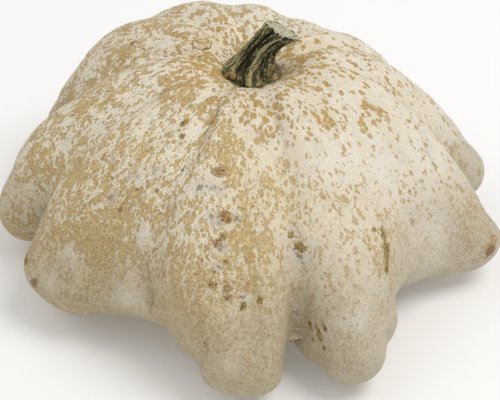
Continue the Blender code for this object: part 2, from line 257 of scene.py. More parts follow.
def body_exact(r, z):
    best = np.full(r.shape, 1e9)
    inside = np.zeros(r.shape, bool)
    for (ra, za), (rb, zb) in zip(BODY_CURVE, BODY_CURVE[1:]):
        dr, dz = rb - ra, zb - za
        h = np.clip(((r - ra) * dr + (z - za) * dz) / (dr * dr + dz * dz), 0, 1)
        best = np.minimum(best, np.hypot(r - ra - h * dr, z - za - h * dz))
        if zb != za:
            inside ^= ((za > z) != (zb > z)) & (r < ra + (z - za) / (zb - za) * dr)
    return np.where(inside, -best, best)


def body_chart():
    r = np.arange(GRID_R[0], GRID_R[1] + GRID, GRID)
    z = np.arange(GRID_Z[0], GRID_Z[1] + GRID, GRID)
    rr, zz = np.meshgrid(r, z, indexing="ij")
    return body_exact(rr.ravel(), zz.ravel()).reshape(rr.shape)


BODY_CHART = body_chart()


def body(r, z):
    u = np.clip((r - GRID_R[0]) / GRID, 0, BODY_CHART.shape[0] - 1.001)
    v = np.clip((z - GRID_Z[0]) / GRID, 0, BODY_CHART.shape[1] - 1.001)
    i, j = u.astype(int), v.astype(int)
    a, b = u - i, v - j
    c = BODY_CHART
    return ((c[i, j] * (1 - a) + c[i + 1, j] * a) * (1 - b)
            + (c[i, j + 1] * (1 - a) + c[i + 1, j + 1] * a) * b)


def add_lobe(f, x, y, z, direction, start, arch, tip, swing, keel):
    """Blends one lobe into the field, only where it is near enough to matter."""
    a = math.radians(direction)
    u = (x - STEM_X) * math.cos(a) + (y - STEM_Y) * math.sin(a)
    v = -(x - STEM_X) * math.sin(a) + (y - STEM_Y) * math.cos(a)
    near = np.flatnonzero((u > -12) & (np.abs(v) < 32 + abs(swing)))
    u, v, z = u[near], v[near], z[near]
    bu, bw = 2 * (arch[0] - start[0]), 2 * (arch[1] - start[1])
    au, aw = start[0] - 2 * arch[0] + tip[0], start[1] - 2 * arch[1] + tip[1]

    best, t = np.full(u.shape, 1e9), np.zeros(u.shape)
    for s in np.linspace(0, 1, 9):
        gap = ((start[0] + bu * s + au * s * s - u) ** 2
               + (start[1] + bw * s + aw * s * s - z) ** 2)
        t = np.where(gap < best, s, t)
        best = np.minimum(gap, best)
    for _ in range(3):
        du, dw = start[0] + bu * t + au * t * t - u, start[1] + bw * t + aw * t * t - z
        tu, tw = bu + 2 * au * t, bw + 2 * aw * t
        slope = du * tu + dw * tw
        bend = tu * tu + tw * tw + 2 * (du * au + dw * aw)
        t = np.clip(t - np.clip(slope / np.maximum(bend, 1e-3), -0.1, 0.1), 0, 1)
    du, dw = start[0] + bu * t + au * t * t - u, start[1] + bw * t + aw * t * t - z
    radius = (1 - t) ** 2 * start[2] + 2 * t * (1 - t) * arch[2] + t * t * tip[2]
    upper = np.sqrt(du * du + dw * dw + (v - swing * t * t) ** 2) - radius

    ku, kw = tip[0] - keel[0], tip[1] - keel[1]
    h = ((u - keel[0]) * ku + v * swing + (z - keel[1]) * kw) / (ku * ku + swing * swing + kw * kw)
    h = np.clip(h, 0, 1)
    lower = np.sqrt((u - keel[0] - h * ku) ** 2 + (v - h * swing) ** 2 + (z - keel[1] - h * kw) ** 2)
    lower = lower - (keel[2] + h * (tip[2] - keel[2]))
    f[near] = soft_min(f[near], soft_min(upper, lower, 6.0), BLEND - BLEND_LESS * (1 - ramp(z, 22, 44)))


def fold_chart():
    az = np.array([a for a, _ in FOLDS] + [FOLDS[0][0] + 360.0])
    ht = np.array([h for _, h in FOLDS] + [FOLDS[0][1]])
    q = (np.arange(0, 360, 0.25) - az[0]) % 360.0 + az[0]
    i = np.clip(np.searchsorted(az, q, side="right") - 1, 0, len(az) - 2)
    t = np.clip((q - az[i]) / (az[i + 1] - az[i]), 0, 1)
    s = 0.5 - 0.5 * np.cos(np.pi * t)
    s = np.where(ht[i + 1] < ht[i], s ** 1.5, 1 - (1 - s) ** 1.5)
    return ht[i] + (ht[i + 1] - ht[i]) * s


FOLD_CHART = fold_chart()


def folds(direction):
    return np.interp(direction % 360.0, np.arange(0, 360, 0.25), FOLD_CHART, period=360.0)


def skin(p):
    x, y, z = p[:, 0], p[:, 1], p[:, 2]
    f = body(np.hypot(x, y), z)
    for one in LOBES:
        add_lobe(f, x, y, z, *one)
    dx, dy = x - STEM_X, y - STEM_Y
    rho = np.hypot(dx, dy)
    high = ramp(z, 25, 50)
    fade = ramp(rho, 7, 20) * (1 - 0.55 * ramp(rho, 38, 66)) * high
    az = np.degrees(np.arctan2(dy, dx)) % 360
    f = f - folds(az) * fade
    f = f + CLEFT[2] * np.exp(-(((az - CLEFT[0]) / CLEFT[1]) ** 2)) * ramp(rho, 46, 58) * (1 - ramp(z, 36, 52))
    f = f + CAVITY_DEPTH * np.exp(-((rho / CAVITY_R) ** 2)) * high
    f = soft_max(f, -np.maximum(rho - SEAT_R, SEAT_Z - z), 1.2)
    # the underside rests on a shallow swell, with the blossom scar in its middle
    r = np.hypot(x, y)
    floor = SCAR_DEPTH * (1 - ramp(r, 0.3 * SCAR_R, SCAR_R)) + 0.6 * np.minimum(r / 22.0, 1) ** 2
    return soft_max(f, floor - z, 3.0)


def skin_slope(p):
    height, slope = 0.0, 0.0
    for corner in ((1, 1, 1), (1, -1, -1), (-1, 1, -1), (-1, -1, 1)):
        corner = np.array(corner) * 0.05
        f = skin(p + corner)[:, None]
        height = height + f / 4
        slope = slope + f * corner / 0.01
    return height, slope


# ------------------------------------------------------------------ soft noise
def noise(p, size, seed):
    """Smooth noise from -1 to 1 with lumps of that size."""
    q = np.asarray(p, float) / size + seed * 7.31
    i = np.floor(q).astype(np.int64)
    f = q - i
    f = f * f * f * (f * (f * 6 - 15) + 10)
    total = 0.0
    for cx in (0, 1):
        for cy in (0, 1):
            for cz in (0, 1):
                n = (i[:, 0] + cx) * 73856093 ^ (i[:, 1] + cy) * 19349663 ^ (i[:, 2] + cz) * 83492791 ^ (seed * 9277 + 17)
                n = (n & 0xFFFFFFFF)
                n = ((n ^ (n >> 15)) * 2246822519) & 0xFFFFFFFF
                n = ((n ^ (n >> 13)) * 3266489917) & 0xFFFFFFFF
                value = (n ^ (n >> 16)) / 4294967295.0 * 2 - 1
                weight = ((f[:, 0] if cx else 1 - f[:, 0]) * (f[:, 1] if cy else 1 - f[:, 1])
                          * (f[:, 2] if cz else 1 - f[:, 2]))
                total = total + value * weight
    return total


def link(ob):
    bpy.context.scene.collection.objects.link(ob)
    return ob


# -------------------------------------------------------------------- the rind
def place_of(direction, distance, height):
    a = math.radians(direction)
    return np.array([STEM_X + distance * math.cos(a), STEM_Y + distance * math.sin(a), height])


def onto_skin(p, turns=5):
    for _ in range(turns):
        f, g = skin_slope(p)
        p = p - g * np.clip(f / np.maximum((g * g).sum(1, keepdims=True), 1e-6), -1.5, 1.5)
    return p


def mark_frames():
    """Each blemish's middle on the skin, with its way down the rind and across."""
    middles = onto_skin(np.array([place_of(*m[1:4]) for m in MARKS]))
    _, g = skin_slope(middles)
    n = g / np.linalg.norm(g, axis=1, keepdims=True)
    out = middles - np.array([STEM_X, STEM_Y, 66.0])
    down = out - (out * n).sum(1, keepdims=True) * n
    down /= np.linalg.norm(down, axis=1, keepdims=True)
    return middles, down, np.cross(n, down)


def fruit_points(shift):
    """The frame's fruit in fine even faces, every point set on the skin."""
    blank = link(bpy.data.objects.new("blank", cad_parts["squash_fruit"].data.copy()))
    blank.data.materials.clear()
    even = blank.modifiers.new("even_faces", "REMESH")
    even.mode = "VOXEL"
    even.voxel_size = CELL * MM
    done = blank.evaluated_get(bpy.context.evaluated_depsgraph_get())
    bm = bmesh.new()
    bm.from_mesh(done.data)
    bpy.data.objects.remove(blank, do_unlink=True)

    def points():
        return np.array([v.co[:] for v in bm.verts])

    p = points() / MM - shift
    ends = np.array([[v.index for v in e.verts] for e in bm.edges])
    count = np.bincount(ends.ravel(), minlength=len(p))[:, None]
    for turn in range(5):
        f, g = skin_slope(p)
        size = np.linalg.norm(g, axis=1, keepdims=True)
        p -= g * np.clip(f / np.maximum(size ** 2, 1e-6), -1, 1)
        if turn < 3:
            mean = np.zeros_like(p)
            for i in range(3):
                mean[:, i] = (np.bincount(ends[:, 0], p[ends[:, 1], i], len(p))
                              + np.bincount(ends[:, 1], p[ends[:, 0], i], len(p)))
            move = mean / count - p
            n = g / np.maximum(size, 1e-6)
            p += 0.5 * (move - (move * n).sum(1, keepdims=True) * n)
    for v, co in zip(bm.verts, p):
        v.co = co

    # finer faces on the raised blemishes
    middles, _, _ = mark_frames()
    for margin in (1.9, 1.4):
        p = points()
        near = np.zeros(len(p), bool)
        for mark, middle in zip(MARKS, middles):
            if mark[0] in ("button", "wart", "crust"):
                near |= ((p - middle) ** 2).sum(1) < (margin * max(mark[4], mark[5])) ** 2
        bm.verts.ensure_lookup_table()
        chosen = [e for e in bm.edges if near[e.verts[0].index] and near[e.verts[1].index]]
        bmesh.ops.subdivide_edges(bm, edges=chosen, cuts=1, use_grid_fill=True)
        bm.verts.index_update()
    p = onto_skin(points(), 2)
    for v, co in zip(bm.verts, p):
        v.co = co
    bmesh.ops.triangulate(bm, faces=[f for f in bm.faces if len(f.verts) > 4])
    bmesh.ops.recalc_face_normals(bm, faces=bm.faces[:])
    return bm, points()


def frame_shift():
    """How far the frame's fruit is moved from the tables' own layout."""
    co = np.array([v.co[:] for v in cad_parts["squash_fruit"].data.vertices]) / MM
    co = co[co[:, 2] > 8.0]
    shift = np.zeros(3)
    for _ in range(6):
        f, g = skin_slope(co - shift)
        g2 = g[:, :2]
        step, *_ = np.linalg.lstsq(g2, f[:, 0], rcond=None)
        shift[:2] += step
    return shift


def creases(p):
    """Depth of the creases at each point of the skin, and their darkness: painted shade, with the brown tint of the
    narrow creases.
    """
    depth, tint_and_shade = np.zeros(len(p)), np.zeros(len(p))
    for wide, deep, tone, places in CREASES:
        line = smooth_curve([place_of(*q) for q in places], 6)
        line = onto_skin(line)
        near = np.flatnonzero(((p > line.min(0) - 3 * wide) & (p < line.max(0) + 3 * wide)).all(1))
        q = p[near]
        q = q + 0.5 * min(wide, 1.0) * np.stack([noise(q, 3.0, 51), noise(q, 3.0, 52), noise(q, 3.0, 53)], 1)
        gap = np.full(len(near), 1e9)
        for k, (a, b) in enumerate(zip(line, line[1:])):
            h = np.clip(((q - a) @ (b - a)) / ((b - a) @ (b - a)), 0, 1)
            end = min(1.0, (min(k, len(line) - 2 - k) + 1.0) / 4.0)
            gap = np.minimum(gap, np.linalg.norm(q - a - h[:, None] * (b - a), axis=1) / end)
        fall = np.exp(-((gap / wide) ** 2))
        depth[near] = depth[near] + deep * fall
        tint_and_shade[near] = np.maximum(tint_and_shade[near], tone * fall)
    return depth, tint_and_shade


def relief(p):
    """Height added along the skin's normal, and the blemish masks."""
    dx, dy = p[:, 0] - STEM_X, p[:, 1] - STEM_Y
    rho = np.hypot(dx, dy)
    az = np.degrees(np.arctan2(dy, dx)) % 360
    top = ramp(p[:, 2], 30, 55)
    h = 0.34 * noise(p, 15.0, 1) + 0.20 * noise(p, 7.0, 2) + 0.09 * noise(p, 3.4, 3)
    h *= ramp(p[:, 2], 0.5, 8)
    # small puckers that gather towards the stem
    a = np.radians(az)
    turn = np.stack([np.cos(a) * 9, np.sin(a) * 9, rho / 9.0], 1)
    pucker = noise(turn, 1.0, 5) + 0.6 * noise(turn * 2.3, 1.0, 6)
    h += pucker * (0.42 * np.exp(-((rho - 10) / 6.0) ** 2) + 0.14 * ramp(rho, 12, 20) * (1 - ramp(rho, 45, 65))) * top

    # the creases' darkness is painted shade, with the brown tint of the narrow creases
    sunk, tint_and_shade = creases(p)
    h -= sunk
    masks = {k: np.full(len(p), -2.0) for k in ("brown", "orange", "olive", "bruise", "crust", "button", "rim")}
    masks["crease_tint_and_shade"] = tint_and_shade
    middles, down, across = mark_frames()
    for (kind, _, _, _, long, wide, lift), m, d, c in zip(MARKS, middles, down, across):
        near = np.flatnonzero(((p - m) ** 2).sum(1) < (2.6 * max(long, wide) + 1.0) ** 2)
        if len(near) == 0:
            continue
        if kind == "button":
            n = np.cross(d, c)
            c = np.array([1.0, 0, 0]) - n[0] * n
            c /= np.linalg.norm(c)
            d = np.cross(c, n)
        q = p[near] - m
        u, v = q @ d / long, q @ c / wide
        s = np.sqrt(u * u + v * v)
        away = np.hypot(s, (q @ np.cross(d, c)) / max(long, wide) * 0.7)
        inside = 1 - away
        if kind == "button":
            s = s + 0.07 * noise(p[near], 1.6, 14)
            lips = u + 0.22 * v * v + 0.05 * noise(p[near], 1.2, 15)
            slits = np.exp(-((lips + 0.02) / 0.09) ** 2) * (1 - ramp(np.abs(v), 0.60, 0.82))
            folds_in = np.exp(-((np.hypot((lips + 0.02) * 1.5, v * 0.85) - 0.60) / 0.10) ** 2)
            ring = np.exp(-((s - 1.02) / 0.09) ** 2)
            h[near] += lift * (0.75 * (1 - ramp(s, 0.90, 1.12)) - 0.45 * ring - 0.55 * slits - 0.22 * folds_in)
            masks["button"][near] = np.maximum(masks["button"][near], inside)
            masks["rim"][near] = np.maximum(masks["rim"][near], np.maximum(np.maximum(ring * 1.1 - 0.3, slits * 1.4 - 0.2), folds_in * 0.85 - 0.2))
        elif kind == "wart":
            h[near] += lift * ((1 - ramp(s, 0.55, 1.05)) + 0.35 * np.exp(-((s - 0.8) / 0.16) ** 2)
                               - 0.7 * np.exp(-((u + 0.1) / 0.22) ** 2) * (1 - ramp(np.abs(v), 0.4, 0.75))
                               - 0.3 * np.exp(-((s - 1.2) / 0.15) ** 2))
            masks["crust"][near] = np.maximum(masks["crust"][near], inside)
            masks["rim"][near] = np.maximum(masks["rim"][near], 0.75 - np.abs(s - 0.98) / 0.2)
        elif kind == "crust":
            rough = 0.5 * noise(p[near], 0.7, 11) + 0.5 * noise(p[near], 0.35, 12)
            edge = 1 - ramp(s + 0.3 * noise(p[near], 0.9, 13), 0.6, 1.1)
            h[near] += lift * edge * (0.8 + 0.5 * rough) - 0.12 * np.exp(-((s - 1.25) / 0.2) ** 2)
            masks["crust"][near] = np.maximum(masks["crust"][near], inside + 0.25 * noise(p[near], 0.9, 13))
            masks["rim"][near] = np.maximum(masks["rim"][near], 0.45 - np.abs(s - 0.95) / 0.3)
        else:
            h[near] += lift * np.exp(-s * s)
            masks[kind][near] = np.maximum(masks[kind][near], inside)
    return h, masks


def make_fruit(shift):
    bm, p = fruit_points(shift)
    _, g = skin_slope(p)
    n = g / np.maximum(np.linalg.norm(g, axis=1, keepdims=True), 1e-6)
    h, masks = relief(p)
    q = p + n * h[:, None]
    q[:, 2] = np.maximum(q[:, 2], 0.0)
    for v, co in zip(bm.verts, (q + shift) * MM):
        v.co = co
    me = bpy.data.meshes.new("squash_rind")
    bm.to_mesh(me)
    bm.free()
    me.shade_smooth()

    x, y, z = p[:, 0], p[:, 1], p[:, 2]
    dx, dy = x - STEM_X, y - STEM_Y
    rho = np.hypot(dx, dy)
    az = np.degrees(np.arctan2(dy, dx)) % 360
    a = np.radians(az)

    def toward(direction):
        return 0.5 + 0.5 * np.cos(a - math.radians(direction))

    # the way the mottling runs: down the rind from the stem
    reach = np.hypot(rho, 65 - z) + 3
    spread = 2.97 * reach ** 0.7
    flow = np.stack([spread * np.cos(a), spread * np.sin(a), 0.35 * z], 1)
    low = 1 - ramp(z, 8, 20)
    flow = flow * (1 - low[:, None]) + (p * np.array([0.8, 0.8, 0.8])) * low[:, None]

    tan = 0.55 - 0.205 * toward(340) + 0.07 * (1 - ramp(z, 42, 62)) * toward(230)
    for direction, distance, height, size, weight in TAN:
        gap = ((p - place_of(direction, distance, height)) ** 2).sum(1)
        tan = tan + weight * np.exp(-gap / size ** 2)
    tan = tan + 0.08 * noise(p, 11.0, 21) + 0.05 * noise(p, 5.0, 22)
    light_side = ramp(toward(335), 0.45, 0.95)
    spotty = (1 - ramp(rho, 15 + 17 * light_side, 26 + 24 * light_side)) * ramp(z, 35, 50)
    grain = (1 - spotty) * (0.30 + 0.70 * toward(275)) * ramp(rho, 22, 40)
    front = np.exp(-(((az - 289) / 21.0) ** 2)) * ramp(rho, 28, 44)
    faint = np.clip((1 - ramp(z, 20, 46)) * (0.25 + 0.9 * ramp(toward(292), 0.45, 0.95)) + 0.35 * front, 0, 1)
    # darker low down and towards the left: painted shade on the underside and on the side away from the key, along
    # with the rind's duller grey there
    low_shade_and_dull = (1 - ramp(z, 16, 50)) * 0.85 + 0.12 * toward(240) * (1 - ramp(z, 30, 60)) - 0.25 * ramp(toward(190), 0.93, 1.0)
    low_shade_and_dull = low_shade_and_dull * (0.55 + 0.45 * ramp(tan, 0.10, 0.45))
    fine = {
        "tan": tan, "spotty": spotty, "grain": grain, "low_shade_and_dull": np.clip(low_shade_and_dull, 0, 1),
        "faint": faint, "outer": ramp(rho, 24 + 8 * light_side, 42 + 14 * light_side), "warm": np.clip(tan * 1.35 - 0.22, 0, 1),
        "sprinkle": light_side * (1 - spotty) * ramp(z, 12, 30), "light": light_side,
        "foot": (1 - ramp(rho, 7.8, 10.2)) * ramp(z, 50, 60),
        "scar": (1 - ramp(np.hypot(x, y), 2.5, 8.0)) * (1 - ramp(z, 2, 6)),
        **masks,
    }
    for name, values in fine.items():
        me.attributes.new(name, "FLOAT", "POINT").data.foreach_set("value", values.astype(np.float32))
    me.attributes.new("flow", "FLOAT_VECTOR", "POINT").data.foreach_set(
        "vector", flow.astype(np.float32).ravel())
    me.attributes.new("skin_mm", "FLOAT_VECTOR", "POINT").data.foreach_set(
        "vector", p.astype(np.float32).ravel())
    return link(bpy.data.objects.new("squash_rind", me))


# -------------------------------------------------------------------- the stem
def rind_height(x, y):
    """Height of the skin under each place near the stem."""
    p = np.stack([x, y, np.full(len(x), 65.0)], 1)
    for _ in range(8):
        f, g = skin_slope(p)
        p[:, 2] -= np.clip(f[:, 0] / np.maximum(g[:, 2], 0.3), -1.5, 1.5)
    return p[:, 2]


def make_stem(shift):
    sides, rings = ((240, 160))
    path = smooth_curve(STEM_PATH, 40)
    cut = Vector(STEM_CUT).normalized()
    foot = np.array([STEM_X, STEM_Y, SEAT_Z])
    points, info = [], []
    th = 2 * np.pi * np.arange(sides) / sides

    def bulge(direction, width):
        return np.exp(-(((th - np.radians(direction) + np.pi) % (2 * np.pi) - np.pi) / width) ** 2)

    for k in range(rings + 1):
        t = k / rings
        row = t * (len(path) - 1)
        i = min(int(row), len(path) - 2)
        x, y, z, radius = path[i] + (path[i + 1] - path[i]) * (row - i)
        tilt = Vector((0, 0, 1)).lerp(cut, t ** 0.8).normalized()
        across = Vector((1, 0, 0)) - tilt * tilt.x
        across.normalize()
        along = np.array(tilt.cross(across))
        across = np.array(across)
        b = th + 0.18 * t + 0.10 * math.sin(5 * t)
        spot = np.stack([np.cos(b), np.sin(b), np.full(sides, t)], 1)
        wander = noise(spot * np.array([1.6, 1.6, 3.0]), 1.0, 31)
        main = np.cos(5 * b + 1.9 + 1.1 * wander)
        cracks = 1 - 2 * np.abs(noise(spot * np.array([5.4, 5.4, 2.6]), 1.0, 36))
        fibres = 1 - 2 * np.abs(noise(spot * np.array([12, 12, 4.5]), 1.0, 37))
        crumbs = noise(spot * np.array([11, 11, 22]), 1.0, 38)
        flare = math.exp(-((t - 0.06) / 0.12) ** 2)
        rib = 0.5 + 0.11 * main + 0.36 * (cracks - 0.48) + 0.34 * (fibres - 0.5) + 0.08 * crumbs
        r = radius + (0.40 + 0.25 * flare) * main + 0.66 * (cracks - 0.55) + 0.46 * (fibres - 0.55) + 0.10 * crumbs
        # toes of the foot, a knob on its left and a lower one at the front
        r = r + flare * (0.5 * np.cos(9 * th + 0.7) + 0.5 * noise(spot * 4.0, 1.0, 39))
        r = r + 1.3 * bulge(186, 0.40) * math.exp(-((t - 0.30) / 0.10) ** 2)
        r = r + 0.7 * bulge(262, 0.35) * math.exp(-((t - 0.15) / 0.08) ** 2)
        fray = float(ramp(np.array([t]), 0.92, 1.0)[0])
        r = r + fray * (0.38 * noise(spot * np.array([5, 5, 0]), 1.0, 33) + 0.5 * bulge(350, 0.5))
        ring = foot + np.array([x, y, z]) + across * (np.cos(th) * r)[:, None] + along * (np.sin(th) * r)[:, None]
        if fray > 0:
            lip = 0.35 * noise(spot * np.array([6, 6, 0]), 1.0, 34)
            ring = ring + np.array(cut)[None] * (lip * fray)[:, None]
        points.append(ring)
        info.append(np.stack([np.full(sides, t), rib, th], 1))
    # the foot follows the rind it grows from
    low = range(int(0.30 * rings))
    under = np.concatenate([points[k] for k in low])
    drop = (rind_height(under[:, 0], under[:, 1]) - SEAT_Z - 0.25).reshape(len(low), sides)
    for k in low:
        points[k][:, 2] += drop[k] * (1 - ramp(np.array([k / rings]), 0.02, 0.30)[0])
    # the cut end: rings stepping in, with a slightly sunken, torn face
    last = points[-1]
    centre = last.mean(0)
    for step, s in enumerate((0.94, 0.86, 0.76, 0.64, 0.50, 0.36, 0.22, 0.10)):
        ring = centre + (last - centre) * s
        sink = -0.60 * ramp(np.array([1 - s]), 0.03, 0.4)[0]
        rough = 0.40 * noise(ring, 1.1, 41) + 0.25 * noise(ring, 0.5, 42)
        ring = ring + np.array(cut)[None] * (sink + rough)[:, None]
        points.append(ring)
        info.append(np.stack([np.full(sides, 1.0 + 0.14 * (step + 1)), info[rings][:, 1] * s, th], 1))
    p = np.concatenate(points)
    extra = np.concatenate(info)
    bm = bmesh.new()
    verts = [bm.verts.new((co + shift) * MM) for co in p]
    total = len(points)
    for k in range(total - 1):
        for i in range(sides):
            j = (i + 1) % sides
            bm.faces.new((verts[k * sides + i], verts[k * sides + j], verts[(k + 1) * sides + j], verts[(k + 1) * sides + i]))
    bm.faces.new(verts[:sides][::-1])
    bm.faces.new(verts[-sides:])
    bmesh.ops.triangulate(bm, faces=[f for f in bm.faces if len(f.verts) > 4])
    bmesh.ops.recalc_face_normals(bm, faces=bm.faces[:])
    me = bpy.data.meshes.new("squash_stem")
    bm.to_mesh(me)
    bm.free()
    me.shade_smooth()
    along_values = np.clip(extra[:, 0], 0, 1)
    cut_values = np.clip((extra[:, 0] - 1.0) * 5, 0, 1)
    flow = np.stack([np.cos(extra[:, 2] + 0.2 * along_values) * 5, np.sin(extra[:, 2] + 0.2 * along_values) * 5,
                     along_values * 4.0], 1)
    flow = flow * (1 - cut_values[:, None]) + (p - centre) * 2.0 * cut_values[:, None]
    for name, values in {"along": along_values, "rib": extra[:, 1], "cutface": cut_values}.items():
        me.attributes.new(name, "FLOAT", "POINT").data.foreach_set("value", values.astype(np.float32))
    me.attributes.new("flow", "FLOAT_VECTOR", "POINT").data.foreach_set("vector", flow.astype(np.float32).ravel())
    me.attributes.new("stem_mm", "FLOAT_VECTOR", "POINT").data.foreach_set("vector", p.astype(np.float32).ravel())
    return link(bpy.data.objects.new("squash_stem", me))


# ------------------------------------------------------------------- materials
def colour(r, g, b):
    """A screen colour, 0 to 255, as the linear colour a shader takes."""
    out = []
    for c in (r, g, b):
        c = c / 255.0
        out.append(c / 12.92 if c <= 0.04045 else ((c + 0.055) / 1.055) ** 2.4)
    return (*out, 1.0)


class Shade:
    """Short names for the nodes a material is built from."""

    def __init__(self, name):
        self.mat = bpy.data.materials.new(name)
        self.mat.use_nodes = True
        self.tree = self.mat.node_tree
        self.bsdf = self.tree.nodes["Principled BSDF"]

    def put(self, socket, value):
        if isinstance(value, bpy.types.NodeSocket):
            self.tree.links.new(value, socket)
        else:
            socket.default_value = value

    def field(self, name, out="Fac"):
        n = self.tree.nodes.new("ShaderNodeAttribute")
        n.attribute_name = name
        return n.outputs[out]

    def math(self, op, a, b=0.0, c=0.0, clamp=False):
        n = self.tree.nodes.new("ShaderNodeMath")
        n.operation, n.use_clamp = op, clamp
        for socket, value in zip(n.inputs, (a, b, c)):
            self.put(socket, value)
        return n.outputs[0]

    def add(self, a, b): return self.math("ADD", a, b)
    def sub(self, a, b): return self.math("SUBTRACT", a, b)
    def mul(self, a, b): return self.math("MULTIPLY", a, b)
    def top(self, a, b): return self.math("MAXIMUM", a, b)
    def muladd(self, a, b, c): return self.math("MULTIPLY_ADD", a, b, c)

    def step(self, x, lo, hi, a=0.0, b=1.0):
        n = self.tree.nodes.new("ShaderNodeMapRange")
        n.interpolation_type = "SMOOTHSTEP"
        for socket, value in zip(n.inputs, (x, lo, hi, a, b)):
            self.put(socket, value)
        return n.outputs[0]

    def noise(self, vector, scale, detail=2.0, rough=0.5, bend=0.0, out=0):
        n = self.tree.nodes.new("ShaderNodeTexNoise")
        self.put(n.inputs["Vector"], vector)
        n.inputs["Scale"].default_value = scale
        n.inputs["Detail"].default_value = detail
        n.inputs["Roughness"].default_value = rough
        n.inputs["Distortion"].default_value = bend
        return n.outputs[out]

    def cells(self, vector, scale, feature="F1", loose=1.0):
        n = self.tree.nodes.new("ShaderNodeTexVoronoi")
        n.feature = feature
        self.put(n.inputs["Vector"], vector)
        n.inputs["Scale"].default_value = scale
        n.inputs["Randomness"].default_value = loose
        return n

    def vector(self, op, a, b=None, scale=None):
        n = self.tree.nodes.new("ShaderNodeVectorMath")
        n.operation = op
        self.put(n.inputs[0], a)
        if b is not None:
            self.put(n.inputs[1], b)
        if scale is not None:
            self.put(n.inputs["Scale"], scale)
        return n.outputs[0]

    def jitter(self, vector, scale, amount):
        """The vector pushed about by noise."""
        push = self.vector("SUBTRACT", self.noise(vector, scale, 2.0, 0.5, out=1), (0.5, 0.5, 0.5))
        return self.vector("ADD", vector, self.vector("SCALE", push, scale=amount))

    def mix(self, factor, a, b, blend="MIX"):
        n = self.tree.nodes.new("ShaderNodeMix")
        n.data_type, n.blend_type = "RGBA", blend
        self.put(n.inputs[0], factor)
        self.put(n.inputs[6], a)
        self.put(n.inputs[7], b)
        return n.outputs[2]

    def tint(self, r, g, b):
        n = self.tree.nodes.new("ShaderNodeCombineXYZ")
        for socket, value in zip(n.inputs, (r, g, b)):
            socket.default_value = value
        return n.outputs[0]

    def bump(self, height, distance, strength=1.0, normal=None):
        n = self.tree.nodes.new("ShaderNodeBump")
        n.inputs["Strength"].default_value = strength
        n.inputs["Distance"].default_value = distance
        self.put(n.inputs["Height"], height)
        if normal is not None:
            self.put(n.inputs["Normal"], normal)
        return n.outputs[0]


